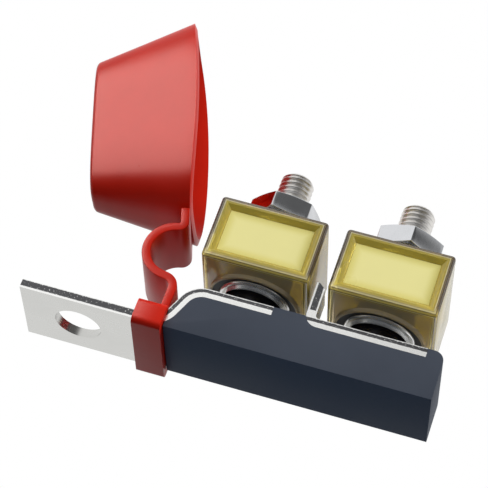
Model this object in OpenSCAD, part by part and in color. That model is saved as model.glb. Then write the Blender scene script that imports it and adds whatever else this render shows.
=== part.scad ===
// Dual terminal fuse block: a plated copper bar with a ring tab bolts to a
// battery post, and two cube fuses stand on its studs. A red boot hangs on a
// soft strap and folds over both cable nuts.
// Origin: centre of the tab hole, on the tab's underside. X runs along the
// bar, Y is its width and Z points up along the studs.

/* [Bus bar] */
// Thickness of the bar stock
bar_t = 2.2; // [1.6:0.1:2.6]
// Width of the bar, which is also the depth of the base
bar_w = 20.6; // [19:0.2:24]
// Diameter of the battery hole in the tab
tab_hole_d = 11; // [8:0.5:12]
// Distance from the battery hole to the free end of the tab
tab_end = 13.1; // [10:0.1:18]
// Distance from the battery hole to the start of the step up
tab_reach = 17.2; // [16:0.2:22]
// Height of the fuse shelf above the underside of the tab
shelf_top = 12; // [10:0.25:15]
// Slope of the step between tab and shelf, in degrees
step_angle = 66.5; // [50:0.5:75]
// Inside radius of the two bends of the step
step_r = 3.8; // [2:0.1:4.2]
// Height of the lanced tongue above the shelf
tongue_h = 9; // [5:0.5:12]
// Width of the tongue across the bar
tongue_w = 7; // [5:0.5:8]
// Inside radius of the tongue's bend
tongue_r = 0.8; // [0.4:0.1:1.5]

/* [Base] */
// Length of plastic beyond the end of the bar
base_nose = 4; // [2:0.5:8]
// Radius of the upper edge at the nose
nose_r = 2.4; // [1:0.1:4]
// Distance from the last stud to the end of the bar
shelf_end = 12.4; // [11:0.1:16]

/* [Studs and nuts] */
// Distance from the battery hole to the first stud
stud_x = 36.6; // [36.4:0.1:44]
// Distance between the two studs
stud_pitch = 29.6; // [29:0.1:36]
// Thread diameter of a stud
stud_d = 8; // [6:0.5:8]
// Height of the stud tips above the underside of the tab
stud_top = 52; // [50:0.5:60]
// Diameter of the stud head inside the base
stud_head_d = 13; // [11:0.5:15]
// Thickness of the stud head
stud_head_t = 3; // [2:0.5:4]
// Size of the hexagon nut across its flats
nut_af = 15.3; // [12:0.1:16]
// Thickness of the nut
nut_h = 4.8; // [3.5:0.1:5.2]
// How far the flat washer's rim stays inside the contact's rim
washer_inset = 0.4; // [0.2:0.1:1]
// Thickness of the flat washer
washer_t = 1.3; // [1:0.1:2]
// How far the lock washer's rim stays inside the flat washer's rim
lock_inset = 0.8; // [0.4:0.1:1.5]
// Thickness of the split lock washer
lock_t = 1.7; // [1.2:0.1:2.2]

/* [Fuses] */
// Width of a fuse along the bar
fuse_w = 25.3; // [24:0.1:27]
// Depth of a fuse across the bar
fuse_d = 29; // [28:0.2:34]
// Height of the fuse housing
fuse_h = 16.5; // [14:0.1:20]
// Height of the fuse's underside above the shelf
fuse_lift = 5.9; // [4:0.1:8]
// Wall thickness of the fuse housing
fuse_wall = 1.6; // [1.2:0.1:2.2]
// Thickness of the front wall that carries the window
front_wall = 2.4; // [2:0.1:3]
// Corner radius of the fuse housing
fuse_r = 0.9; // [0.6:0.1:2]
// Outside diameter of the raised rings round the contacts
lip_d = 21.5; // [20.5:0.1:23]
// Diameter of the contact faces
contact_d = 17; // [15:0.1:17.5]
// Diameter of the lower contact where it stands on the shelf
boss_d = 14.4; // [13:0.1:15]
// Thickness of the contact discs
contact_t = 2; // [1.4:0.1:2.4]
// Diameter of the ceramic core
core_d = 14; // [12.5:0.1:14.5]
// Width of the window opening
window_w = 19.8; // [16:0.1:20.2]
// Height of the window opening
window_h = 10.8; // [8:0.1:11]
// Width of the sloping frame round the window
frame_w = 1.1; // [0.6:0.1:1.3]
// Depth of the sloping frame round the window
frame_t = 1; // [0.5:0.1:1.2]
// Width of the fuse element strip
element_w = 8; // [5:0.5:9]
// Thickness of the fuse element strip
element_t = 0.6; // [0.4:0.1:1]

/* [Boot] */
// Wall thickness of the cap
cap_wall = 1.7; // [1.2:0.1:2.2]
// Length of the cap's mouth
mouth_l = 54.6; // [54:0.2:60]
// Width of the cap's mouth
mouth_w = 32; // [31:0.2:36]
// Length of the cap's closed end
crown_l = 38.8; // [38:0.2:44]
// Width of the cap's closed end
crown_w = 15.6; // [15:0.2:20]
// Depth of the cap from mouth to closed end
cap_depth = 23.9; // [22:0.1:30]
// Bulge of the mouth's long edges beyond its ends
mouth_bow = 1.6; // [0:0.1:2]
// Lean of the open cap past upright, in degrees
cap_lean = 17.2; // [12:0.2:20]
// Twist of the open cap on its strap, in degrees
cap_twist = 2.9; // [0:0.1:4]
// Width of the strap
strap_w = 17; // [12:0.5:18]
// Thickness of the strap
strap_t = 2; // [1.4:0.1:2.2]
// Radius of the strap's loop at mid thickness
loop_r = 6.6; // [5.5:0.1:6.8]
// Wall of the collar above the tab
collar_top = 2.6; // [2:0.1:3]
// Wall of the collar below the tab
collar_floor = 1.6; // [1:0.1:2.4]
// Wall of the collar at the edges of the tab
collar_side = 1.9; // [1.4:0.1:2.4]
// Corner radius of the collar's band
collar_r = 1.5; // [0.6:0.1:1.6]
// Distance from the battery hole to the collar
collar_x = 13.9; // [13:0.1:15]

/* [Hidden] */
$fn = 64;

// Small gap between pieces that are pushed or moulded together
fit_gap = 0.05;
// Overlap that makes a cut run cleanly out of a face
past = 1;

shelf_z = shelf_top - bar_t;
step_r_mid = step_r + bar_t / 2;
step_rise = shelf_z - 2 * step_r_mid * (1 - cos(step_angle));
step_run = step_rise / tan(step_angle);
shelf_x = tab_reach + 2 * step_r_mid * sin(step_angle) + step_run;
stud_2_x = stud_x + stud_pitch;
bar_end = stud_2_x + shelf_end;
base_end = bar_end + base_nose;
gap_mid = stud_x + stud_pitch / 2;
// The bar is cut away between the fuses, and the tongue stands at the far side
tongue_x = gap_mid - 1;
slot_x = tongue_x - tongue_h + 1.6;
tongue_y = -bar_w / 2 + tongue_w;
bar_hole_r = 5.5;
relief_r = 0.7;

stud_shank_r = stud_d / 2 - 0.1;
stud_chamfer = 0.9;
stud_head_z = 3.2;
bush_r = bar_hole_r - fit_gap;

fuse_z = shelf_top + fuse_lift;
fuse_top = fuse_z + fuse_h;
lip_h = 1;
face_low = fuse_z - lip_h;
face_high = fuse_top + lip_h;
core_low = face_low + contact_t;
core_high = face_high - contact_t;
core_r = core_d / 2;
core_bore_r = stud_d / 2 + 0.1;
spigot_r = stud_d / 2 + 0.9;
contact_r = contact_d / 2;
lip_r = lip_d / 2;
lip_t = 0.6;
seal_r = lip_r - lip_t;
seat_r = 1.2;
window_z = fuse_z + fuse_h * 0.505;
window_t = 1.1;
window_front = -fuse_d / 2 + frame_t + 0.1;
slot_w = element_w + 0.4;

washer_r = contact_d / 2 - washer_inset;
lock_r = washer_r - lock_inset;
washer_z = face_high;
lock_z = washer_z + washer_t;
nut_z = lock_z + lock_t;
nut_top = nut_z + nut_h;
washer_bore_r = stud_d / 2 + 0.2;
stud_neck_r = stud_d / 2 - 0.4;
nut_bore_r = stud_neck_r + fit_gap;
nut_turn = [12.5, 36.7];

collar_end = 20.7;
// How far the collar and the base keep off each other
collar_gap = 0.2;
base_start = collar_end + collar_gap;
mouth_p = 3.3;
crown_p = 3.6;
cap_edge_r = 0.9;
lug_drop = 2.9;
lug_t = 1.8;
root_gap = 0.3;
strap_y = strap_w / 2;

function arc(cx, cz, r, from, to, n = 10) =
    [for (i = [0:n]) let (a = from + (to - from) * i / n) [cx + r * cos(a), cz + r * sin(a)]];

function reverse(list) = [for (i = [len(list) - 1:-1:0]) list[i]];

// Lays a profile drawn in X and Z flat across the bar, from y0 to y1
module across(y0, y1) {
    translate([0, y1, 0])
        rotate([90, 0, 0])
            linear_extrude(y1 - y0)
                children();
}

// Side view of the bar up to x_end: tab, step and shelf
module bar_profile(x_end, grow = 0) {
    low_r = step_r + bar_t + grow;
    high_r = step_r - grow;
    turn = 270 + step_angle;
    low = arc(tab_reach, step_r + bar_t, low_r, 270, turn);
    low_up = arc(shelf_x, shelf_z - step_r, high_r, turn - 90 - 90, 90);
    top = arc(tab_reach, step_r + bar_t, high_r, 270, turn);
    top_up = arc(shelf_x, shelf_z - step_r, low_r, turn - 180, 90);
    polygon(concat(
        [[-tab_end, -grow]], low, low_up, [[x_end, shelf_z - grow]],
        [[x_end, shelf_top + grow]], reverse(top_up), reverse(top), [[-tab_end, bar_t + grow]]
    ));
}

module tongue_profile() {
    bend_x = tongue_x + bar_t + tongue_r;
    bend_z = shelf_top + tongue_r;
    tip = shelf_top + tongue_h;
    polygon(concat(
        arc(bend_x, bend_z, tongue_r + bar_t, 270, 180),
        [[tongue_x, tip], [tongue_x + bar_t * 0.3, tip], [tongue_x + bar_t, tip - bar_t * 0.6]],
        arc(bend_x, bend_z, tongue_r, 180, 270)
    ));
}

// Plan of the tab's free end, with its two small corner radii
module tab_plan(x_end) {
    r = 0.8;
    translate([-tab_end, -bar_w / 2])
        square([tab_end + x_end - r, bar_w]);
    translate([-tab_end + r, -bar_w / 2])
        square([tab_end + x_end - r, bar_w]);
}

module bar_blank() {
    difference() {
        across(-bar_w / 2, bar_w / 2) bar_profile(bar_end);
        translate([slot_x, -bar_w / 2 - past, shelf_z - past])
            cube([tongue_x + bar_t + tongue_r - slot_x, tongue_w + past, bar_t + 2 * past]);
    }
    across(-bar_w / 2, tongue_y) tongue_profile();
}

module bus_bar() {
    color("lightgray")
    difference() {
        bar_blank();
        translate([0, 0, -past])
            cylinder(h = bar_t + 2 * past, d = tab_hole_d);
        for (x = [stud_x, stud_2_x])
            translate([x, 0, shelf_z - past])
                cylinder(h = bar_t + 2 * past, r = bar_hole_r);
    }
}

module base_profile() {
    r = nose_r;
    polygon(concat(
        [[base_start, 0], [base_end, 0]],
        arc(base_end - r, shelf_top - r, r, 0, 90),
        [[base_start, shelf_top]]
    ));
}

// Everything above the underside of the step, which the plastic stays below
module step_clearance() {
    low_r = step_r + bar_t;
    turn = 270 + step_angle;
    polygon(concat(
        arc(tab_reach, step_r + bar_t, low_r, 270, turn),
        arc(shelf_x, shelf_z - step_r, step_r, turn - 180, 90),
        [[shelf_x, shelf_top + past], [tab_reach, shelf_top + past]]
    ));
}

module stud_cut() {
    translate([0, 0, stud_head_z - fit_gap])
        cylinder(h = stud_head_t + 2 * fit_gap, d = stud_head_d + 2 * fit_gap);
    translate([0, 0, stud_head_z])
        cylinder(h = stud_top, r = stud_shank_r + fit_gap);
}

module base_body() {
    color("darkslategray")
    difference() {
        across(-bar_w / 2, bar_w / 2) base_profile();
        across(-bar_w / 2 - past, bar_w / 2 + past) step_clearance();
        difference() {
            bar_blank();
            for (x = [stud_x, stud_2_x])
                translate([x, 0, 0])
                    cylinder(h = stud_top, r = bush_r);
        }
        for (x = [stud_x, stud_2_x])
            translate([x, 0, 0])
                stud_cut();
    }
}

module stud(x) {
    color("silver")
    translate([x, 0, 0]) {
        translate([0, 0, stud_head_z])
            cylinder(h = stud_head_t, d = stud_head_d);
        translate([0, 0, stud_head_z])
            cylinder(h = nut_z - stud_head_z, r = stud_shank_r);
        translate([0, 0, nut_z - past])
            cylinder(h = nut_h + 2 * past, r = stud_neck_r);
        translate([0, 0, nut_top])
            cylinder(h = stud_top - stud_chamfer - nut_top, d = stud_d);
        translate([0, 0, stud_top - stud_chamfer])
            cylinder(h = stud_chamfer, r1 = stud_d / 2, r2 = stud_d / 2 - stud_chamfer);
    }
}

module contact_lower(x) {
    edge = 0.8;
    color("silver")
    translate([x, 0, 0])
        rotate_extrude()
            polygon(concat(
                [[spigot_r + fit_gap, shelf_top], [boss_d / 2, shelf_top], [boss_d / 2, face_low]],
                arc(contact_r - edge, face_low + edge, edge, 270, 360, 6),
                [[contact_r, core_low], [spigot_r + fit_gap, core_low]]
            ));
}

module contact_upper(x) {
    edge = 0.5;
    color("silver")
    translate([x, 0, 0])
        rotate_extrude()
            polygon(concat(
                [[core_bore_r, core_high], [contact_r, core_high]],
                arc(contact_r - edge, face_high - edge, edge, 0, 90, 6),
                [[core_bore_r, face_high]]
            ));
}

// Soft ring between a contact disc and the raised ring of the housing
module seal(x, z) {
    color("black")
    translate([x, 0, z])
        difference() {
            cylinder(h = contact_t - 0.6, r = seal_r - fit_gap);
            translate([0, 0, -past])
                cylinder(h = contact_t + 2 * past, r = contact_r + fit_gap);
        }
}

// Flat oblong with rounded corners, centred
module round_plan(w, h, r) {
    square([w, h - 2 * r], center = true);
    square([w - 2 * r, h], center = true);
    for (x = [-1, 1], y = [-1, 1])
        translate([x * (w / 2 - r), y * (h / 2 - r)])
            circle(r);
}

// Block with rounded edges all round, standing on z0
module soft_block(w, d, h, r, z0) {
    translate([0, 0, z0 + h / 2])
        intersection() {
            linear_extrude(h, center = true) round_plan(w, d, r);
            rotate([90, 0, 0]) linear_extrude(d, center = true) round_plan(w, h, r);
            rotate([90, 0, 90]) linear_extrude(w, center = true) round_plan(d, h, r);
        }
}

// Sloping frame round the window, and the opening behind it
module window_frame_cut() {
    w = window_w / 2;
    h = window_h / 2;
    y0 = -fuse_d / 2;
    y1 = y0 + frame_t;
    intersection() {
        translate([0, 0, window_z - h - frame_w])
            linear_extrude(2 * (h + frame_w))
                polygon([[-w - frame_w, y0], [w + frame_w, y0], [w, y1], [-w, y1]]);
        rotate([90, 0, 90])
            linear_extrude(2 * (w + frame_w), center = true)
                polygon([[y0, window_z - h - frame_w], [y0, window_z + h + frame_w],
                         [y1, window_z + h], [y1, window_z - h]]);
    }
    translate([-w, y0 - past, window_z - h])
        cube([window_w, front_wall + 2 * past, window_h]);
}

// Raised ring round a contact, standing on the housing's face
module lip_ring(z0, z1) {
    translate([0, 0, z0])
        cylinder(h = z1 - z0, r = lip_r);
}

module housing_shell() {
    difference() {
        union() {
            soft_block(fuse_w, fuse_d, fuse_h, fuse_r, fuse_z);
            lip_ring(face_low, fuse_z + fuse_r);
            lip_ring(fuse_top - fuse_r, face_high);
        }
        translate([-fuse_w / 2 + fuse_wall, -fuse_d / 2 + front_wall, core_low + seat_r])
            cube([fuse_w - 2 * fuse_wall, fuse_d - front_wall - fuse_wall,
                  core_high - core_low - 2 * seat_r]);
    }
}

module fuse_housing(x) {
    color("goldenrod")
    translate([x, 0, 0])
        difference() {
            housing_shell();
            translate([0, 0, face_low - past])
                cylinder(h = contact_t + past, r = seal_r);
            translate([0, 0, core_high])
                cylinder(h = contact_t + past, r = seal_r);
            translate([0, 0, core_low - past])
                cylinder(h = core_high - core_low + 2 * past, r = core_r + fit_gap);
            window_frame_cut();
            translate([-slot_w / 2, -contact_r, core_low - past])
                cube([slot_w, contact_r, core_high - core_low + 2 * past]);
        }
}

module fuse_window(x) {
    color("khaki")
    translate([x - window_w / 2 + fit_gap, window_front, window_z - window_h / 2 + fit_gap])
        cube([window_w - 2 * fit_gap, window_t, window_h - 2 * fit_gap]);
}

module fuse_core(x) {
    color("white")
    translate([x, 0, 0])
        difference() {
            union() {
                translate([0, 0, shelf_top])
                    cylinder(h = core_low - shelf_top, r = spigot_r);
                translate([0, 0, core_low])
                    cylinder(h = core_high - core_low, r = core_r);
            }
            translate([0, 0, shelf_top - past])
                cylinder(h = core_high - shelf_top + 2 * past, r = core_bore_r);
        }
}

module fuse_element(x) {
    y_in = -core_r - 0.35;
    y_out = -fuse_d / 2 + front_wall + 0.5;
    foot = core_low + seat_r + 1.5;
    head = core_high - seat_r - 1.5;
    neck_r = element_w * 0.3;
    color("silver")
    translate([x, 0, 0])
        difference() {
            rotate([90, 0, 90])
                linear_extrude(element_w, center = true)
                    polygon([
                        [y_in, core_low], [y_in, foot + element_t], [y_out + element_t, foot + element_t],
                        [y_out + element_t, head - element_t], [y_in, head - element_t], [y_in, core_high],
                        [y_in - element_t, core_high], [y_in - element_t, head], [y_out, head],
                        [y_out, foot], [y_in - element_t, foot], [y_in - element_t, core_low]
                    ]);
            for (side = [-1, 1])
                translate([side * element_w / 2, y_out - past, (foot + head) / 2])
                    rotate([-90, 0, 0])
                        cylinder(h = element_t + 2 * past, r = neck_r);
        }
}

module washer(x) {
    color("lightgray")
    translate([x, 0, washer_z])
        difference() {
            cylinder(h = washer_t, r = washer_r);
            translate([0, 0, -past])
                cylinder(h = washer_t + 2 * past, r = washer_bore_r);
        }
}

module lock_washer(x) {
    gap = 1;
    color("silver")
    translate([x, 0, lock_z])
        difference() {
            cylinder(h = lock_t, r = lock_r);
            translate([0, 0, -past])
                cylinder(h = lock_t + 2 * past, r = washer_bore_r);
            translate([0, -gap / 2, -past])
                rotate([8, 0, 0])
                    cube([2 * lock_r, gap, lock_t + 4 * past]);
        }
}

// Hexagon nut with a shallow chamfer on both faces
module nut(x, turn) {
    corner_r = nut_af / sqrt(3);
    face_r = nut_af / 2 - 0.15;
    reach_r = corner_r + 0.3;
    chamfer = (reach_r - face_r) * tan(16);
    color("silver")
    translate([x, 0, nut_z])
        difference() {
            intersection() {
                rotate(turn)
                    cylinder(h = nut_h, r = corner_r, $fn = 6);
                rotate_extrude()
                    polygon([
                        [0, 0], [face_r, 0], [reach_r, chamfer],
                        [reach_r, nut_h - chamfer], [face_r, nut_h], [0, nut_h]
                    ]);
            }
            translate([0, 0, -past])
                cylinder(h = nut_h + 2 * past, r = nut_bore_r);
        }
}

module boot_collar() {
    high = collar_floor + bar_t + collar_top;
    color("firebrick")
    difference() {
        translate([collar_x, 0, high / 2 - collar_floor])
            rotate([90, 0, 90])
                linear_extrude(collar_end - collar_x)
                    round_plan(bar_w + 2 * collar_side, high, collar_r);
        across(-bar_w / 2 - fit_gap, bar_w / 2 + fit_gap) bar_profile(bar_end, fit_gap);
    }
}

// Middle line of the strap: up from the collar, left, and round the loop
strap_x = collar_end - strap_t / 2 - 0.45;
strap_foot = bar_t + collar_top;
strap_rise = 11;
strap_bend_r = 2.6;
strap_turn = 80;
strap_run = 1.5;
loop_from = 170;
loop_to = -6;
bend_end = [strap_x - strap_bend_r + strap_bend_r * cos(strap_turn),
            strap_rise + strap_bend_r * sin(strap_turn)];
loop_start = bend_end + strap_run * [cos(loop_from), sin(loop_from)];
loop_c = loop_start + loop_r * [cos(strap_turn), sin(strap_turn)];
// The lug's foot stands over the end of the loop, and the mouth follows from it
lug_foot = loop_c + [1, loop_r + strap_t / 2 + root_gap + lug_t * sin(cap_lean)];
mouth_at = lug_foot + (mouth_l / 2 + lug_drop) * [-sin(cap_lean), cos(cap_lean)];

// One side of the strap, half a thickness off its middle line
function strap_side(off) = concat(
    [[strap_x + off, strap_foot]],
    arc(strap_x - strap_bend_r, strap_rise, strap_bend_r + off, 0, strap_turn, 8),
    arc(loop_c.x, loop_c.y, loop_r - off, loop_from + 90, loop_to + 90, 24)
);

module boot_strap() {
    color("firebrick")
    across(-strap_y, strap_y)
        polygon(concat(strap_side(strap_t / 2), reverse(strap_side(-strap_t / 2))));
}

// Rounded oblong ring of the cap at one depth
function cap_ring(depth, half_l, half_w, p, bow, n = 48) = [
    for (i = [0:n - 1])
        let (
            c = cos(360 * i / n), s = sin(360 * i / n),
            y = half_w * sign(c) * pow(abs(c), 2 / p),
            z = half_l * sign(s) * pow(abs(s), 2 / p)
        )
        [bow * (1 - pow(z / half_l, 2)) - depth, y, z]
];

function mix(a, b, t) = a + (b - a) * t;

// Solid of the cap's outside, or of its inside when inset is the wall
module cap_form(inset, mouth_past = 0) {
    n = 48;
    edge = max(cap_edge_r - inset, 0.4);
    depth = cap_depth - inset;
    levels = [0, 0.33, 0.66, 1];
    rings = concat(
        [for (t = levels)
            let (d = mix(-mouth_past, depth - edge, t), f = d / cap_depth)
            cap_ring(d, mix(mouth_l, crown_l, f) / 2 - inset, mix(mouth_w, crown_w, f) / 2 - inset,
                     mix(mouth_p, crown_p, f), mouth_bow * (1 - t))],
        [for (a = [30, 60, 90])
            let (d = depth - edge + edge * sin(a), f = d / cap_depth, in = inset + edge * (1 - cos(a)))
            cap_ring(d, mix(mouth_l, crown_l, f) / 2 - in, mix(mouth_w, crown_w, f) / 2 - in,
                     mix(mouth_p, crown_p, f), 0)]
    );
    count = len(rings);
    mouth = count * n;
    polyhedron(
        points = concat(
            [for (ring = rings) each ring],
            [[mouth_bow + mouth_past, 0, 0], [-depth, 0, 0]]
        ),
        faces = concat(
            [for (i = [0:n - 1]) [mouth, (i + 1) % n, i]],
            [for (k = [0:count - 2], i = [0:n - 1])
                let (j = (i + 1) % n)
                each [[k * n + i, (k + 1) * n + j, (k + 1) * n + i],
                      [k * n + i, k * n + j, (k + 1) * n + j]]],
            [for (i = [0:n - 1]) [mouth + 1, (count - 1) * n + i, (count - 1) * n + (i + 1) % n]]
        )
    );
}

// The lug that hangs from the mouth's rim and carries the strap
module cap_lug() {
    translate([-lug_t, -strap_y, -mouth_l / 2 - lug_drop])
        cube([lug_t, strap_w, lug_drop + mouth_l * 0.1]);
}

module boot_cap() {
    color("firebrick")
    translate([mouth_at.x, 0, mouth_at.y])
        rotate([0, 0, -cap_twist])
            rotate([0, -cap_lean, 0]) {
                difference() {
                    cap_form(0);
                    cap_form(cap_wall, 0.5);
                }
                difference() {
                    cap_lug();
                    cap_form(cap_wall / 2);
                }
            }
}

base_body();
bus_bar();
stud(stud_x);  // stud_1
stud(stud_2_x);  // stud_2
contact_lower(stud_x);  // contact_lower_1
contact_lower(stud_2_x);  // contact_lower_2
seal(stud_x, core_low - contact_t + 0.6);  // seal_lower_1
seal(stud_2_x, core_low - contact_t + 0.6);  // seal_lower_2
fuse_housing(stud_x);  // fuse_housing_1
fuse_housing(stud_2_x);  // fuse_housing_2
fuse_window(stud_x);  // fuse_window_1
fuse_window(stud_2_x);  // fuse_window_2
fuse_core(stud_x);  // fuse_core_1
fuse_core(stud_2_x);  // fuse_core_2
fuse_element(stud_x);  // fuse_element_1
fuse_element(stud_2_x);  // fuse_element_2
contact_upper(stud_x);  // contact_upper_1
contact_upper(stud_2_x);  // contact_upper_2
seal(stud_x, core_high);  // seal_upper_1
seal(stud_2_x, core_high);  // seal_upper_2
washer(stud_x);  // washer_1
washer(stud_2_x);  // washer_2
lock_washer(stud_x);  // lock_washer_1
lock_washer(stud_2_x);  // lock_washer_2
nut(stud_x, nut_turn[0]);  // nut_1
nut(stud_2_x, nut_turn[1]);  // nut_2
boot_collar();
boot_strap();
boot_cap();
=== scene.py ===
import bpy
from math import atan2, cos, pi, radians, sin
from mathutils import Matrix, Vector


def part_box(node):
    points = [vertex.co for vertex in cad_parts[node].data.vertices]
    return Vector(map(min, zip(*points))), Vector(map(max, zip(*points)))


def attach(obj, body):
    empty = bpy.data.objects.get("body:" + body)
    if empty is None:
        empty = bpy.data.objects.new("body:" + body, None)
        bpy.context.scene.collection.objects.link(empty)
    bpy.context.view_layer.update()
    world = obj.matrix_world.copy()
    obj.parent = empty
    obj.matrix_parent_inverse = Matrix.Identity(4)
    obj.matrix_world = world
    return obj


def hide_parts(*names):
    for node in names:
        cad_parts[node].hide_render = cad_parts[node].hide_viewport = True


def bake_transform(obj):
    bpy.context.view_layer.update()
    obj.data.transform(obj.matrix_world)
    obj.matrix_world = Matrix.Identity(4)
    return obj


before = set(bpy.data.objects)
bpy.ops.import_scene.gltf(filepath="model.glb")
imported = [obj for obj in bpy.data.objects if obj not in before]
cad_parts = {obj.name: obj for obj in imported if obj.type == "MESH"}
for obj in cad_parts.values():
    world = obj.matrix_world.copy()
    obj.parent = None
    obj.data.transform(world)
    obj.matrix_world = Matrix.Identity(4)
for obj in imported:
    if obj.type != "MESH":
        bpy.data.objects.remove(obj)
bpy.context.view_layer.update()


# Bus bar. One strip of plated copper, sheared, punched and folded: a ring tab, a step, the shelf
# and a lanced tongue. Along its cut edges a bright band and bright lines at the arris and round the
# tongue are painted highlights, and the torn band between is painted near-black with light specks,
# a painted dark reflection with glints.

def clear_selection():
    for item in bpy.context.selected_objects:
        item.select_set(False)


def finish_on(name, made):
    """Gives one CAD node its material."""
    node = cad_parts[name]
    node.data.materials.clear()
    node.data.materials.append(made)


def put(tree, value, socket):
    """Sets a socket to a plain value, or links it to the output that the value is."""
    if isinstance(value, bpy.types.NodeSocket):
        tree.links.new(value, socket)
    else:
        socket.default_value = value


def arithmetic(tree):
    """A function that adds one step of arithmetic to a node tree."""
    def number(operation, *values, clamp=False):
        step = tree.nodes.new("ShaderNodeMath")
        step.operation = operation
        step.use_clamp = clamp
        for socket, value in zip(step.inputs, values):
            put(tree, value, socket)
        return step.outputs["Value"]
    return number


def between(tree, value, low, high, to=(0.0, 1.0), smooth=False):
    """Spreads a value's range over another range, held at both ends."""
    spread = tree.nodes.new("ShaderNodeMapRange")
    if smooth:
        spread.interpolation_type = "SMOOTHSTEP"
    put(tree, value, spread.inputs["Value"])
    spread.inputs["From Min"].default_value = low
    spread.inputs["From Max"].default_value = high
    spread.inputs["To Min"].default_value = to[0]
    spread.inputs["To Max"].default_value = to[1]
    return spread.outputs["Result"]


def mixed(tree, share, first, second):
    """A colour between two others, the second at a share of 1."""
    mix = tree.nodes.new("ShaderNodeMix")
    mix.data_type = "RGBA"
    put(tree, share, mix.inputs["Factor"])
    put(tree, first, mix.inputs[6])
    put(tree, second, mix.inputs[7])
    return mix.outputs[2]


def shaded(tree, value, stops):
    """A colour that runs through the given stops as the value rises."""
    ramp = tree.nodes.new("ShaderNodeValToRGB")
    put(tree, value, ramp.inputs["Fac"])
    elements = ramp.color_ramp.elements
    for index, (position, shade) in enumerate(stops):
        element = elements[index] if index < 2 else elements.new(position)
        element.position = position
        element.color = (*shade, 1)
    return ramp.outputs["Color"]


def place_on_part(tree):
    """A point's place in the part's own frame, as X, Y and Z."""
    place = tree.nodes.new("ShaderNodeTexCoord")
    parts = tree.nodes.new("ShaderNodeSeparateXYZ")
    tree.links.new(place.outputs["Object"], parts.inputs["Vector"])
    return parts.outputs


def uneven(tree, scale, detail, roughness=0.5):
    """Noise that is fixed to the part."""
    place = tree.nodes.new("ShaderNodeTexCoord")
    noise = tree.nodes.new("ShaderNodeTexNoise")
    noise.inputs["Detail"].default_value = detail
    noise.inputs["Roughness"].default_value = roughness
    tree.links.new(place.outputs["Object"], noise.inputs["Vector"])
    put(tree, scale, noise.inputs["Scale"])
    return noise.outputs["Fac"]


def new_group(name, inputs, outputs):
    """An empty node group with its sockets, its entry and its exit."""
    group = bpy.data.node_groups.new(name, "ShaderNodeTree")
    for label, value in inputs:
        socket = group.interface.new_socket(label, in_out="INPUT", socket_type="NodeSocketFloat")
        socket.default_value = value
    for label in outputs:
        group.interface.new_socket(label, in_out="OUTPUT", socket_type="NodeSocketFloat")
    return group, group.nodes.new("NodeGroupInput").outputs, group.nodes.new("NodeGroupOutput").inputs


def placed(tree, group):
    """Puts a node group in a material."""
    node = tree.nodes.new("ShaderNodeGroup")
    node.node_tree = group
    return node


def grain_group():
    """Fine and broad mottling in object space, for moulded and plated surfaces."""
    scales = (("Fine Scale", 900.0), ("Broad Scale", 60.0))
    group, entry, leave = new_group("grain", scales, ("Fine", "Broad"))
    for label in ("Fine", "Broad"):
        group.links.new(uneven(group, entry[label + " Scale"], 4.0, 0.6), leave[label])
    return group


grain = grain_group()


def finish(name, color, roughness, metallic=0.0, fine=900.0, broad=60.0, tint=0.12, rough_range=0.1,
           bump=0.02, specular=0.5):
    """A surface with mottled colour, uneven gloss and a fine grain in relief."""
    made = bpy.data.materials.new(name)
    made.use_nodes = True
    tree = made.node_tree
    shader = tree.nodes["Principled BSDF"]
    shader.inputs["Metallic"].default_value = metallic
    shader.inputs["Specular IOR Level"].default_value = specular
    spots = placed(tree, grain)
    spots.inputs["Fine Scale"].default_value = fine
    spots.inputs["Broad Scale"].default_value = broad
    low, high = 0.3, 0.7
    darker = [c * (1 - tint) for c in color]
    lighter = [min(c * (1 + tint), 1) for c in color]
    mottled = shaded(tree, spots.outputs["Broad"], ((low, darker), (high, lighter)))
    tree.links.new(mottled, shader.inputs["Base Color"])
    gloss = (max(roughness - rough_range, 0.02), roughness + rough_range)
    tree.links.new(between(tree, spots.outputs["Broad"], low, high, gloss), shader.inputs["Roughness"])
    relief = tree.nodes.new("ShaderNodeBump")
    relief.inputs["Strength"].default_value = bump * 10
    relief.inputs["Distance"].default_value = 0.00005
    tree.links.new(spots.outputs["Fine"], relief.inputs["Height"])
    tree.links.new(relief.outputs["Normal"], shader.inputs["Normal"])
    return made


def own_colour(made):
    """The mottled colour that a finish has so far."""
    return made.node_tree.nodes["Principled BSDF"].inputs["Base Color"].links[0].from_socket


def recolour(made, colour):
    """Puts another colour in the place of a finish's own."""
    made.node_tree.links.new(colour, made.node_tree.nodes["Principled BSDF"].inputs["Base Color"])


bar_half = 0.0011
shelf_top = 0.012
tab_to = 0.0172
shelf_from = 0.02789
bend_radius = 0.0049
step_slope = radians(66.5)
under_collar = 0.0145
side_from = 0.0085
sideways = 0.85
tongue_past, tongue_above = 0.045, 0.0138
tongue_rim_wide = 0.0007
arris_from = 0.00092
ragged_by = 0.0003
tongue_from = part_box("stud_1")[0].x / 2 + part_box("stud_2")[1].x / 2 - 0.001


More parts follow.
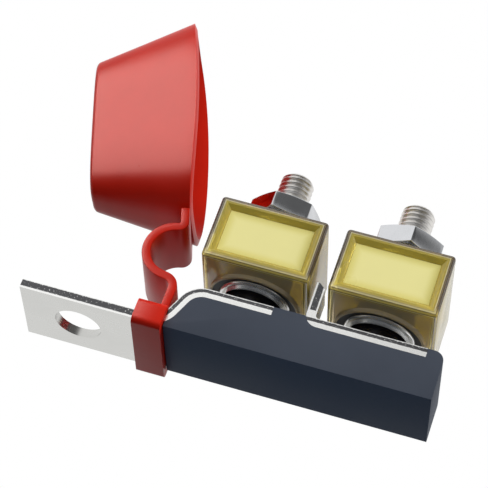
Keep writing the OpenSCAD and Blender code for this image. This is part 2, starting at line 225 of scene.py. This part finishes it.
def sheared_edge_group():
    """Masks for the bar's cut edges: 1 on an edge, 1 where its painted highlights go, and noise for the
    specks of the band painted dark.
    """
    shares = (("Bright Share", 0.0001), ("Tab Share", -0.0006))
    group, entry, leave = new_group("sheared edge", shares, ("Edge", "Bright", "Speckle"))
    number = arithmetic(group)

    def choose(test, yes, no):
        other = number("SUBTRACT", 1.0, test)
        return number("ADD", number("MULTIPLY", test, yes), number("MULTIPLY", other, no))

    def over(value, line, sharpness=9000.0):
        return number("MULTIPLY_ADD", number("SUBTRACT", value, line), sharpness, 0.5, clamp=True)

    spot = place_on_part(group)
    x, z = spot["X"], spot["Z"]
    bend_z = shelf_top / 2

    def round_to(bend_x):
        ex, ez = number("SUBTRACT", x, bend_x), number("SUBTRACT", z, bend_z)
        return number("SQRT", number("ADD", number("MULTIPLY", ex, ex), number("MULTIPLY", ez, ez)))

    rise, reach = sin(step_slope), cos(step_slope)
    from_x, from_z = tab_to + bend_radius * rise, bend_z - bend_radius * reach
    to_x, to_z = shelf_from - bend_radius * rise, bend_z + bend_radius * reach
    run = ((to_x - from_x) ** 2 + (to_z - from_z) ** 2) ** 0.5
    dx, dz = number("SUBTRACT", x, from_x), number("SUBTRACT", z, from_z)
    along = number("ADD", number("MULTIPLY", dx, reach), number("MULTIPLY", dz, rise))
    off_slope = number("SUBTRACT", number("MULTIPLY", dz, reach), number("MULTIPLY", dx, rise))
    off_low_bend = number("SUBTRACT", bend_radius, round_to(tab_to))
    off_high_bend = number("SUBTRACT", round_to(shelf_from), bend_radius)
    off_tab = number("SUBTRACT", z, bar_half)
    off_shelf = number("SUBTRACT", z, shelf_top - bar_half)
    lower = choose(number("LESS_THAN", x, tab_to), off_tab, off_low_bend)
    upper = choose(number("GREATER_THAN", x, shelf_from), off_shelf, off_high_bend)
    middle = choose(number("GREATER_THAN", along, run), upper, off_slope)
    off = choose(number("LESS_THAN", along, 0.0), lower, middle)

    face = group.nodes.new("ShaderNodeNewGeometry")
    turned = group.nodes.new("ShaderNodeSeparateXYZ")
    group.links.new(face.outputs["True Normal"], turned.inputs["Vector"])
    steep = number("GREATER_THAN", number("ABSOLUTE", turned.outputs["Y"]), sideways)
    outer_side = number("GREATER_THAN", number("ABSOLUTE", spot["Y"]), side_from)
    past_tab = number("GREATER_THAN", x, under_collar)
    group.links.new(number("MULTIPLY", steep, number("MAXIMUM", outer_side, past_tab)), leave["Edge"])

    rag = uneven(group, 2600.0, 3.0)
    wander = number("MULTIPLY", number("SUBTRACT", rag, 0.5), ragged_by)
    line = number("ADD", off, wander)
    # The bright band, the arris line and the line round the tongue mark where painted highlights go.
    share = choose(past_tab, entry["Bright Share"], entry["Tab Share"])
    rolled_band_highlight = over(share, line)
    arris_highlight = over(line, arris_from)
    high = number("GREATER_THAN", z, tongue_above)
    on_tongue = number("MULTIPLY", high, number("GREATER_THAN", x, tongue_past))
    off_tongue = number("ABSOLUTE", number("SUBTRACT", x, tongue_from + bar_half))
    tongue_rim_highlight = over(number("ADD", off_tongue, wander), tongue_rim_wide, 7000.0)
    group.links.new(choose(on_tongue, tongue_rim_highlight, number("MAXIMUM", rolled_band_highlight, arris_highlight)), leave["Bright"])
    group.links.new(rag, leave["Speckle"])
    return group


bar_finish = finish("tinned bar", (0.60, 0.60, 0.58), 0.26, metallic=1.0, fine=1500, broad=90, tint=0.05,
                    rough_range=0.05, bump=0.015)
tree = bar_finish.node_tree
shear = placed(tree, sheared_edge_group()).outputs
# The cut edges are painted: near-black with light specks on the torn band as a painted dark reflection, and
# near-white on the bright band, the arris and the tongue's rim as painted highlights.
torn_band_painted_dark = shaded(tree, shear["Speckle"], ((0.61, (0.10, 0.10, 0.105)), (0.74, (0.95, 0.95, 0.93))))
painted_edge_light = mixed(tree, shear["Bright"], torn_band_painted_dark, (1.0, 1.0, 0.98, 1))
recolour(bar_finish, mixed(tree, shear["Edge"], own_colour(bar_finish), painted_edge_light))
finish_on("bus_bar", bar_finish)


# Base. A solid moulding in slate-grey plastic, cast round the heads of both studs, with a wedge
# that carries the step of the bar. It has a fine spark texture and a slight sheen.

def rounded(item, width, steps=3, angle=35):
    """Rounds the sharp edges of a finished mesh and smooths its shading."""
    clear_selection()
    bpy.context.view_layer.objects.active = item
    item.select_set(True)
    edge = item.modifiers.new("edge", "BEVEL")
    edge.width = width
    edge.segments = steps
    edge.limit_method = "ANGLE"
    edge.angle_limit = radians(angle)
    bpy.ops.object.modifier_apply(modifier="edge")
    bpy.ops.object.shade_smooth_by_angle(angle=radians(40))


def copy_of_node(name, new_name):
    """A welded copy of a CAD node's mesh, to be dressed."""
    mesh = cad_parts[name].data.copy()
    item = bpy.data.objects.new(new_name, mesh)
    bpy.context.scene.collection.objects.link(item)
    mesh.materials.clear()
    clear_selection()
    bpy.context.view_layer.objects.active = item
    item.select_set(True)
    bpy.ops.object.mode_set(mode="EDIT")
    bpy.ops.mesh.select_all(action="SELECT")
    bpy.ops.mesh.remove_doubles(threshold=1e-6)
    bpy.ops.mesh.dissolve_limited(angle_limit=radians(1))
    bpy.ops.object.mode_set(mode="OBJECT")
    return item


def dressed(name, new_name, made, width, steps=3, angle=35):
    """A copy of a CAD node with broken edges and its finish, in the node's place on the block."""
    item = copy_of_node(name, new_name)
    rounded(item, width, steps, angle)
    item.data.materials.append(made)
    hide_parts(name)
    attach(item, "block")
    return item


base_finish = finish("slate plastic", (0.069, 0.078, 0.098), 0.55, fine=1300, broad=28, tint=0.09,
                     rough_range=0.06, bump=0.03, specular=0.04)
dressed("base_body", "moulded_base", base_finish, 0.0004)


# Studs. Plated steel with a rolled thread, heads held in the base. The thread runs from the
# washers to the chamfered tip.

stud_finish = finish("bright zinc", (0.76, 0.74, 0.71), 0.33, metallic=1.0, fine=1800, broad=200, tint=0.03,
                     rough_range=0.03, bump=0.001)
thread_pitch = 0.00125
thread_low = 0.0345
crest = 0.004
root = 0.0035
tip_chamfer = 0.001


def rod(radius, low, high):
    """A plain round bar on the middle axis, between two heights."""
    clear_selection()
    bpy.ops.mesh.primitive_cylinder_add(vertices=64, radius=radius, depth=high - low,
                                        location=(0, 0, (low + high) / 2))
    return bpy.context.object


def wound_ridge(turns):
    """The thread's ridge: one profile wound round the axis and closed at its inner side."""
    clear_selection()
    bpy.ops.mesh.primitive_circle_add(vertices=7, radius=0.0005, location=(0, 0, 0))
    ridge = bpy.context.object
    profile = ((-0.0007, -0.49), (-0.00038, -0.31), (-0.00006, -0.14), (0, 0),
               (-0.00006, 0.14), (-0.00038, 0.31), (-0.0007, 0.49))
    for vert, (inward, share) in zip(ridge.data.vertices, profile):
        vert.co = (crest + inward, 0, share * thread_pitch)
    wind = ridge.modifiers.new("wind", "SCREW")
    wind.angle = 2 * pi
    wind.screw_offset = thread_pitch
    wind.iterations = turns
    wind.steps = wind.render_steps = 48
    wind.use_merge_vertices = True
    bpy.ops.object.modifier_apply(modifier="wind")
    bpy.ops.object.mode_set(mode="EDIT")
    bpy.ops.mesh.select_all(action="SELECT")
    bpy.ops.mesh.remove_doubles(threshold=1e-7)
    bpy.ops.mesh.select_all(action="DESELECT")
    bpy.ops.mesh.select_non_manifold()
    bpy.ops.mesh.fill()
    bpy.ops.mesh.select_all(action="SELECT")
    bpy.ops.mesh.normals_make_consistent(inside=False)
    bpy.ops.object.mode_set(mode="OBJECT")
    ridge.location.z = thread_low
    return ridge


def chamfered_blank(low, high):
    """A rod a little wider than the thread, with the tip's chamfer."""
    blank = rod(crest + 0.0001, low, high)
    bpy.ops.object.transform_apply(location=True, rotation=True, scale=True)
    bpy.ops.object.mode_set(mode="EDIT")
    bpy.ops.mesh.select_all(action="DESELECT")
    bpy.ops.object.mode_set(mode="OBJECT")
    for edge in blank.data.edges:
        edge.select = all(blank.data.vertices[i].co.z > high - 1e-6 for i in edge.vertices)
    bpy.ops.object.mode_set(mode="EDIT")
    bpy.ops.mesh.select_mode(type="EDGE")
    bpy.ops.mesh.bevel(offset=tip_chamfer, segments=1)
    bpy.ops.object.mode_set(mode="OBJECT")
    return blank


def threaded_stud(name):
    """Rolls the thread round a core, then turns the tip's chamfer."""
    low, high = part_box(name)
    core = rod(root, low.z, high.z)
    ridge = wound_ridge(int((high.z - thread_low) / thread_pitch) + 2)
    blank = chamfered_blank(low.z, high.z)
    for other, operation in ((ridge, "UNION"), (blank, "INTERSECT")):
        cut = core.modifiers.new("cut", "BOOLEAN")
        cut.object = other
        cut.operation = operation
        cut.solver = "EXACT"
        bpy.context.view_layer.objects.active = core
        bpy.ops.object.modifier_apply(modifier="cut")
        bpy.data.objects.remove(other)
    core.name = "thread_" + name
    core.location.x = (low.x + high.x) / 2
    clear_selection()
    core.select_set(True)
    bpy.ops.object.transform_apply(location=True, rotation=True, scale=True)
    bpy.ops.object.shade_smooth_by_angle(angle=radians(62))
    core.data.materials.append(stud_finish)
    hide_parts(name)
    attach(core, "block")


threaded_stud("stud_1")
threaded_stud("stud_2")


# Contacts. Silver-plated copper discs in both faces of each fuse. The lower one stands on a boss
# that presses on the shelf, painted near-black as painted shade, and the upper one carries the washers.

both_fuses = ("1", "2")
boss_top = 0.0161
silver_finish = finish("silver plate", (0.72, 0.72, 0.70), 0.16, metallic=1.0, fine=1600, broad=260,
                       tint=0.05, rough_range=0.05, bump=0.01)
disc_finish = finish("silver disc on a boss painted in shade", (0.90, 0.90, 0.89), 0.2, metallic=0.8, fine=1600,
                     broad=260, tint=0.03, rough_range=0.04, bump=0.002)
tree = disc_finish.node_tree
# Below the disc's face the boss is painted near-black, as painted shade.
over_boss = between(tree, place_on_part(tree)["Z"], boss_top, boss_top + 0.0001)
recolour(disc_finish, mixed(tree, over_boss, (0.012, 0.012, 0.016, 1), own_colour(disc_finish)))
for number in both_fuses:
    finish_on("contact_upper_" + number, silver_finish)
    finish_on("contact_lower_" + number, disc_finish)


# Seals. Black rubber rings that keep dust and spray out of the fuses. Each is pressed into the
# groove between a contact and the housing.

seal_finish = finish("black rubber", (0.010, 0.010, 0.012), 0.5, fine=900, broad=80, tint=0.2, bump=0.03,
                     specular=0.25)
for number in both_fuses:
    finish_on("seal_lower_" + number, seal_finish)
    finish_on("seal_upper_" + number, seal_finish)


# Fuse housings. Amber translucent plastic cubes, moulded hollow, with a sloping frame round the
# window and a raised ring at each contact. The light and dark lines along the thick edges are painted
# highlights and painted shade, lighter and golden along the lower edges, and the bottom is painted a
# greyish brown for a painted reflection haze and the shade inside.

ring_high = 0.001
cube_round = 0.0009
rim_fade, rim_wide = 0.0011, 0.0016
lower_rim_to, upper_rim_from = 0.0186, 0.0202
bottom_to, wall_from = 0.0178, 0.0192


def cube_edge_group():
    """How far a point on a fuse cube is from the nearest edge of its box, in metres."""
    group, entry, leave = new_group("cube edge", (), ("Distance",))
    number = arithmetic(group)
    spot = place_on_part(group)
    low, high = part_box("fuse_housing_1")
    middle = (low + high) / 2
    half = (high - low) / 2
    between_fuses = (low.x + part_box("fuse_housing_2")[1].x) / 2
    from_middle = number("ABSOLUTE", number("SUBTRACT", spot["X"], between_fuses))
    own_x = number("ADD", from_middle, middle.x - between_fuses)
    own_y = number("SUBTRACT", spot["Y"], middle.y)
    own_z = number("SUBTRACT", spot["Z"], middle.z)
    over_x = number("SUBTRACT", number("ABSOLUTE", own_x), half.x)
    over_y = number("SUBTRACT", number("ABSOLUTE", own_y), half.y)
    over_z = number("SUBTRACT", number("ABSOLUTE", own_z), half.z - ring_high)
    flatter = number("MINIMUM", number("MAXIMUM", over_x, over_y), over_z)
    second = number("MAXIMUM", number("MINIMUM", over_x, over_y), flatter)
    group.links.new(number("MULTIPLY", second, -1.0), leave["Distance"])
    return group


cube_edge = cube_edge_group()
amber_finish = finish("amber plastic", (0.78, 0.62, 0.10), 0.09, fine=700, broad=90, tint=0.06,
                      rough_range=0.04, bump=0.008)
tree = amber_finish.node_tree
amber = tree.nodes["Principled BSDF"]
amber.inputs["Transmission Weight"].default_value = 0.5
amber.inputs["IOR"].default_value = 1.5
off_edge = placed(tree, cube_edge).outputs["Distance"]
height = place_on_part(tree)["Z"]
# Painted light along the cube's edges: dark lines are painted shade and light lines painted highlights,
# lighter and golden on the lower edges.
across_rim = between(tree, off_edge, 0.0, rim_wide)
upper_rim_painted_lines = shaded(tree, across_rim, (
    (0.0, (0.16, 0.12, 0.09)),
    (0.28, (0.07, 0.05, 0.035)),
    (0.46, (0.36, 0.29, 0.20)),
    (0.56, (0.14, 0.10, 0.05)),
    (0.64, (0.98, 0.90, 0.62)),
    (0.72, (0.95, 0.82, 0.35)),
    (0.82, (0.40, 0.32, 0.05)),
))
lower_rim_painted_lines = shaded(tree, across_rim, (
    (0.0, (0.95, 0.76, 0.26)),
    (0.26, (0.85, 0.66, 0.16)),
    (0.34, (0.14, 0.08, 0.02)),
    (0.42, (1.0, 0.88, 0.46)),
    (0.60, (0.98, 0.84, 0.36)),
    (0.68, (0.20, 0.13, 0.03)),
    (0.78, (0.90, 0.74, 0.22)),
))
painted_rim_light = mixed(tree, between(tree, height, lower_rim_to, upper_rim_from), lower_rim_painted_lines, upper_rim_painted_lines)
# The bottom is painted greyish brown, a painted reflection haze and painted shade of the dark inside seen
# through it.
over_bottom = between(tree, height, bottom_to, wall_from, smooth=True)
wall_with_painted_bottom = mixed(tree, over_bottom, (0.54, 0.43, 0.26, 1), own_colour(amber_finish))
recolour(amber_finish, mixed(tree, between(tree, off_edge, rim_fade, rim_wide), painted_rim_light, wall_with_painted_bottom))


def rounded_cube(number):
    """A copy of a fuse housing with ball corners, where its rounded edges would meet in a point."""
    name = "fuse_housing_" + number
    cube = copy_of_node(name, "amber_cube_" + number)
    low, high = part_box(name)
    middle = (low + high) / 2
    flat = (high - low) / 2 - Vector((cube_round, cube_round, cube_round + ring_high))
    bpy.ops.object.mode_set(mode="EDIT")
    for axis in range(3):
        for share in (0.0, 0.35, 0.65, 0.85):
            for side in (-1, 1):
                point = middle.copy()
                point[axis] += side * (flat[axis] + share * cube_round)
                normal = [float(axis == i) for i in range(3)]
                bpy.ops.mesh.select_all(action="SELECT")
                bpy.ops.mesh.bisect(plane_co=point, plane_no=normal)
    bpy.ops.object.mode_set(mode="OBJECT")
    for vert in cube.data.vertices:
        own = vert.co - middle
        over = Vector([max(abs(own[i]) - flat[i], 0.0) for i in range(3)])
        if min(over) > 1e-6 and over.length > cube_round:
            over = over * (cube_round / over.length)
            signs = [1 if value > 0 else -1 for value in own]
            vert.co = middle + Vector([(flat[i] + over[i]) * signs[i] for i in range(3)])
    rounded(cube, 0.00025, angle=28)
    cube.data.materials.append(amber_finish)
    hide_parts(name)
    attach(cube, "block")


for number in both_fuses:
    rounded_cube(number)


# Windows. Pale yellow panels of cloudy plastic, for a view of the element. They are set in the
# front walls, a little behind the frames, and snapped in from inside.

frame_to, pane_from = 0.0028, 0.0052
window_finish = finish("window plastic", (0.93, 0.84, 0.34), 0.3, fine=500, broad=60, tint=0.015,
                       rough_range=0.03, bump=0.01)
tree = window_finish.node_tree
off_edge = placed(tree, cube_edge).outputs["Distance"]
# The pane is painted darker and more olive near the frame, a painted shade cast by the frame.
past_painted_frame_shade = between(tree, off_edge, frame_to, pane_from, smooth=True)
recolour(window_finish, mixed(tree, past_painted_frame_shade, (0.80, 0.70, 0.20, 1), own_colour(window_finish)))
for number in both_fuses:
    finish_on("fuse_window_" + number, window_finish)


# Cores. White ceramic tubes, pressed and fired, that keep the live contacts off the studs. Each
# slides over its stud and is held between the two contacts.

ceramic_finish = finish("white ceramic", (0.75, 0.74, 0.70), 0.6, fine=1200, broad=90, tint=0.04, bump=0.04)
for number in both_fuses:
    finish_on("fuse_core_" + number, ceramic_finish)


# Elements. Thin notched strips that melt, stamped from bright metal and bent from the lower
# contact to the upper one behind each window.

element_finish = finish("bright strip", (0.62, 0.60, 0.56), 0.3, metallic=1.0, broad=300, tint=0.1)
for number in both_fuses:
    finish_on("fuse_element_" + number, element_finish)


# Washers and nuts. Zinc-plated steel: a flat washer, a split lock washer and a hexagon nut
# chamfered on both faces, screwed down on each stud.

washer_finish = finish("satin zinc", (0.55, 0.56, 0.57), 0.3, metallic=1.0, fine=1400, broad=220, tint=0.08,
                       bump=0.03)
nut_finish = finish("bright nut", (0.68, 0.69, 0.71), 0.15, metallic=1.0, fine=1800, broad=160, tint=0.05,
                    rough_range=0.05, bump=0.015)
for number in both_fuses:
    finish_on("washer_" + number, washer_finish)
    finish_on("lock_washer_" + number, washer_finish)
    dressed("nut_" + number, "hex_nut_" + number, nut_finish, 0.00022, steps=2, angle=20)


# Boot collar. A band of red rubber stretched over the tab, close to the step. It is moulded in
# one with the strap and the cap.

rubber_finish = finish("red rubber", (0.62, 0.014, 0.003), 0.3, fine=800, broad=70, tint=0.05,
                       rough_range=0.03, bump=0.03, specular=0.12)
collar = dressed("boot_collar", "rubber_collar", rubber_finish, 0.0004)


# Boot strap. The soft tongue of rubber between collar and cap: up from the collar, round a loop
# and into a flange under the cap's mouth.

strap_wide = 0.017
strap_thick = 0.002
strap_x = 0.01925
strap_foot = 0.0045
strap_rise = 0.0065
top_run, top_slope = 0.0015, radians(170)
flange_run, flange_slope = 0.0037, radians(107)
bend_at, bend_turn = Vector((0.01665, 0, 0.011)), radians(80)
loop_at, loop_turn = Vector((0.01677, 0, 0.02032)), radians(-158)
flange_at, flange_turn = Vector((0.01511, 0, 0.02815)), radians(95)


def strap_run(length, slope):
    """Draws the strap's end on, straight, at a slope from the X axis."""
    move = (length * cos(slope), 0, length * sin(slope))
    bpy.ops.mesh.extrude_edges_move(TRANSFORM_OT_translate={"value": move})


clear_selection()
bpy.ops.mesh.primitive_plane_add(size=1, location=(strap_x, 0, strap_foot))
strap = bpy.context.object
strap.scale = (strap_thick, strap_wide, 1)
bpy.ops.object.transform_apply(location=True, rotation=True, scale=True)
bpy.ops.object.mode_set(mode="EDIT")
bpy.ops.mesh.select_all(action="SELECT")
bpy.ops.mesh.delete(type="ONLY_FACE")
bpy.ops.mesh.select_all(action="SELECT")
strap_run(strap_rise, radians(90))
bpy.ops.mesh.spin(steps=8, angle=bend_turn, center=bend_at, axis=(0, 1, 0))
strap_run(top_run, top_slope)
bpy.ops.mesh.spin(steps=26, angle=loop_turn, center=loop_at, axis=(0, 1, 0))
bpy.ops.mesh.spin(steps=7, angle=flange_turn, center=flange_at, axis=(0, 1, 0))
strap_run(flange_run, flange_slope)
bpy.ops.mesh.select_all(action="DESELECT")
bpy.ops.mesh.select_non_manifold()
bpy.ops.mesh.edge_face_add()
bpy.ops.mesh.select_all(action="SELECT")
bpy.ops.mesh.normals_make_consistent(inside=False)
bpy.ops.object.mode_set(mode="OBJECT")
rounded(strap, 0.00022)
strap.name = "rubber_strap"
strap.data.materials.append(rubber_finish)
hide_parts("boot_strap")
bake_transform(strap)


# Boot cap. A tapered oblong cup of red rubber, moulded with an even wall. It stands open on its
# strap and folds down over both nuts.

cap_lean = radians(17.2)
cap_twist = radians(-2.9)
mouth_at = Vector((0.00884, 0, 0.0576))
mouth_long, mouth_wide = 0.0273, 0.016
crown_long, crown_wide = 0.0194, 0.0078
cap_deep = 0.0239
cap_wall = 0.0017
rim_bow = 0.0016
oblong = 3.4
crown_edge = 0.0009

clear_selection()
bpy.ops.mesh.primitive_circle_add(vertices=96, radius=1, fill_type="NOTHING", location=(0, 0, 0))
cap = bpy.context.object
for vert in cap.data.vertices:
    turn = atan2(vert.co.y, vert.co.x)
    c, s = cos(turn), sin(turn)
    px = abs(c) ** (2 / oblong) * (1 if c > 0 else -1)
    py = abs(s) ** (2 / oblong) * (1 if s > 0 else -1)
    vert.co = (px * mouth_long, py * mouth_wide, rim_bow * (1 - px * px))
bpy.ops.object.mode_set(mode="EDIT")
bpy.ops.mesh.select_all(action="SELECT")
rings = [(cap_deep * share, 0.0) for share in (0.12, 0.35, 0.6, 0.82)]
for angle in (0, 22, 45, 67, 90):
    rings.append((cap_deep - crown_edge + crown_edge * sin(radians(angle)),
                  crown_edge * (1 - cos(radians(angle)))))
last_depth, last_size = 0.0, Vector((mouth_long, mouth_wide, rim_bow))
for depth, inset in rings:
    share = depth / cap_deep
    size = Vector((
        mouth_long + (crown_long - mouth_long) * share - inset,
        mouth_wide + (crown_wide - mouth_wide) * share - inset,
        rim_bow * max(1 - share, 0.001),
    ))
    bpy.ops.mesh.extrude_region_move(TRANSFORM_OT_translate={"value": (0, 0, last_depth - depth)})
    bpy.ops.transform.resize(value=[size[i] / last_size[i] for i in range(3)],
                             center_override=(0, 0, -depth))
    last_depth, last_size = depth, size
for shrink in (0.7, 0.4, 0.15):
    bpy.ops.mesh.extrude_region_move(TRANSFORM_OT_translate={"value": (0, 0, 0)})
    bpy.ops.transform.resize(value=(shrink, shrink, 1), center_override=(0, 0, -cap_deep))
bpy.ops.mesh.edge_face_add()
bpy.ops.mesh.select_all(action="SELECT")
bpy.ops.mesh.normals_make_consistent(inside=False)
bpy.ops.object.mode_set(mode="OBJECT")
wall = cap.modifiers.new("wall", "SOLIDIFY")
wall.thickness = cap_wall
wall.offset = -1
wall.use_even_offset = True
bpy.ops.object.modifier_apply(modifier="wall")
rounded(cap, 0.0004, angle=50)
upright = Matrix((
    (-sin(cap_lean), 0, cos(cap_lean)),
    (0, -1, 0),
    (cos(cap_lean), 0, sin(cap_lean)),
)).to_4x4()
cap.matrix_world = Matrix.Translation(mouth_at) @ Matrix.Rotation(cap_twist, 4, "Z") @ upright
clear_selection()
cap.select_set(True)
bpy.ops.object.transform_apply(location=True, rotation=True, scale=True)
cap.name = "rubber_cap"
cap.data.materials.append(rubber_finish)
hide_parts("boot_cap")
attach(cap, "cap")


# Floor, light and camera. A plain pale floor that is clear from below and fades out, soft lamps
# and dark screens round the part, and the camera at the photograph's low angle.

white = (1, 1, 1, 1)

clear_selection()
bpy.ops.mesh.primitive_plane_add(size=3, location=(0.03, 0, -0.00165))
floor = bpy.context.object
floor.name = "floor"
floor_finish = bpy.data.materials.new("pale floor")
floor_finish.use_nodes = True
tree = floor_finish.node_tree
surface = tree.nodes["Principled BSDF"]
surface.inputs["Base Color"].default_value = (0.86, 0.86, 0.85, 1)
surface.inputs["Roughness"].default_value = 0.8
side = tree.nodes.new("ShaderNodeNewGeometry")
spot = tree.nodes.new("ShaderNodeTexCoord")
away = tree.nodes.new("ShaderNodeVectorMath")
away.operation = "LENGTH"
tree.links.new(spot.outputs["Object"], away.inputs[0])
faded = between(tree, away.outputs["Value"], 0.12, 0.55, smooth=True)
clear = tree.nodes.new("ShaderNodeBsdfTransparent")
mix = tree.nodes.new("ShaderNodeMixShader")
put(tree, arithmetic(tree)("MAXIMUM", side.outputs["Backfacing"], faded), mix.inputs["Fac"])
put(tree, surface.outputs["BSDF"], mix.inputs[1])
put(tree, clear.outputs["BSDF"], mix.inputs[2])
put(tree, mix.outputs["Shader"], tree.nodes["Material Output"].inputs["Surface"])
floor.data.materials.append(floor_finish)
floor.visible_shadow = False
floor.visible_glossy = False
floor.visible_diffuse = False

world = bpy.data.worlds.new("studio")
bpy.context.scene.world = world
world.use_nodes = True
tree = world.node_tree
number = arithmetic(tree)
seen = tree.nodes.new("ShaderNodeLightPath").outputs
straight = number("MAXIMUM", seen["Is Camera Ray"], seen["Is Transmission Ray"])
mirrored = number("MAXIMUM", straight, seen["Is Glossy Ray"])
way = tree.nodes.new("ShaderNodeTexCoord").outputs["Generated"]
rise = tree.nodes.new("ShaderNodeSeparateXYZ")
tree.links.new(way, rise.inputs["Vector"])


def mixed_level(share, first, second):
    """A strength between two others, the second at a share of 1."""
    mix = tree.nodes.new("ShaderNodeMix")
    put(tree, share, mix.inputs["Factor"])
    put(tree, first, mix.inputs[2])
    put(tree, second, mix.inputs[3])
    return mix.outputs[0]


def dark_screen(direction, outer, inner, level):
    """A dark screen in the studio, soft-edged: its level inside, 1 outside."""
    toward = tree.nodes.new("ShaderNodeVectorMath")
    toward.operation = "DOT_PRODUCT"
    toward.inputs[1].default_value = Vector(direction).normalized()
    tree.links.new(way, toward.inputs[0])
    return between(tree, toward.outputs["Value"], outer, inner, (1.0, level), smooth=True)


mirror_level = dark_screen((0.45, -0.70, 0.55), 0.76, 0.93, 0.13)
for screen in (
    dark_screen((0.0, -0.5, -0.87), 0.40, 0.66, 0.04),
    dark_screen((0.1, 0.87, 0.48), 0.75, 0.97, 0.8),
    dark_screen((0.87, -0.06, 0.49), 0.80, 0.93, 0.55),
):
    mirror_level = number("MULTIPLY", mirror_level, screen)
ambient = between(tree, rise.outputs["Z"], -0.6, 0.6, (0.13, 0.4))
strength = mixed_level(mirrored, ambient, mixed_level(straight, mirror_level, 1.0))
cool_fill = mixed(tree, between(tree, rise.outputs["Z"], -0.6, 0.1), (0.5, 0.92, 1.5, 1), white)
backdrop = tree.nodes["Background"]
tree.links.new(mixed(tree, mirrored, cool_fill, white), backdrop.inputs["Color"])
tree.links.new(strength, backdrop.inputs["Strength"])

aim = Vector((0.035, 0, 0.035))


def lamp(name, where, size, watts):
    """A soft square lamp that faces the middle of the part."""
    clear_selection()
    bpy.ops.object.light_add(type="AREA", location=where)
    item = bpy.context.object
    item.name = name
    item.data.size = size
    item.data.energy = watts
    item.rotation_euler = (aim - Vector(where)).to_track_quat("-Z", "Y").to_euler()
    return item


for name, where, size, watts in (
    ("key lamp", (-0.25, -0.45, 0.5), 0.35, 2.05),
    ("side lamp", (0.55, -0.25, 0.25), 0.3, 2.0),
    ("back lamp", (0.1, 0.5, 0.4), 0.4, 1.2),
    ("low lamp", (0.05, -0.6, -0.1), 0.4, 0.6),
):
    lamp(name, where, size, watts).visible_glossy = False

rubber_lamp = lamp("rubber lamp", (-0.33, -0.31, 0.16), 0.45, 8.8)
rubber_lamp.data.color = (1.0, 0.93, 0.87)
rubber_lamp.visible_diffuse = False
red_pieces = bpy.data.collections.new("red pieces")
for piece in (collar, strap, cap):
    red_pieces.objects.link(piece)
rubber_lamp.light_linking.receiver_collection = red_pieces

camera_at = Vector((0.1186, -0.4391, -0.2228))
right = Vector((0.9518, 0.0156, 0.3063))
up = Vector((-0.2533, -0.5230, 0.8139))
ahead = Vector((-0.1729, 0.8522, 0.4938))
clear_selection()
bpy.ops.object.camera_add(location=camera_at)
camera = bpy.context.object
camera.matrix_world = Matrix.Translation(camera_at) @ Matrix((right, up, -ahead)).transposed().to_4x4()
camera.data.sensor_width = 36
camera.data.lens = 163.7
camera.data.clip_start = 0.01
bpy.context.scene.camera = camera
bpy.context.scene.view_settings.view_transform = "Standard"
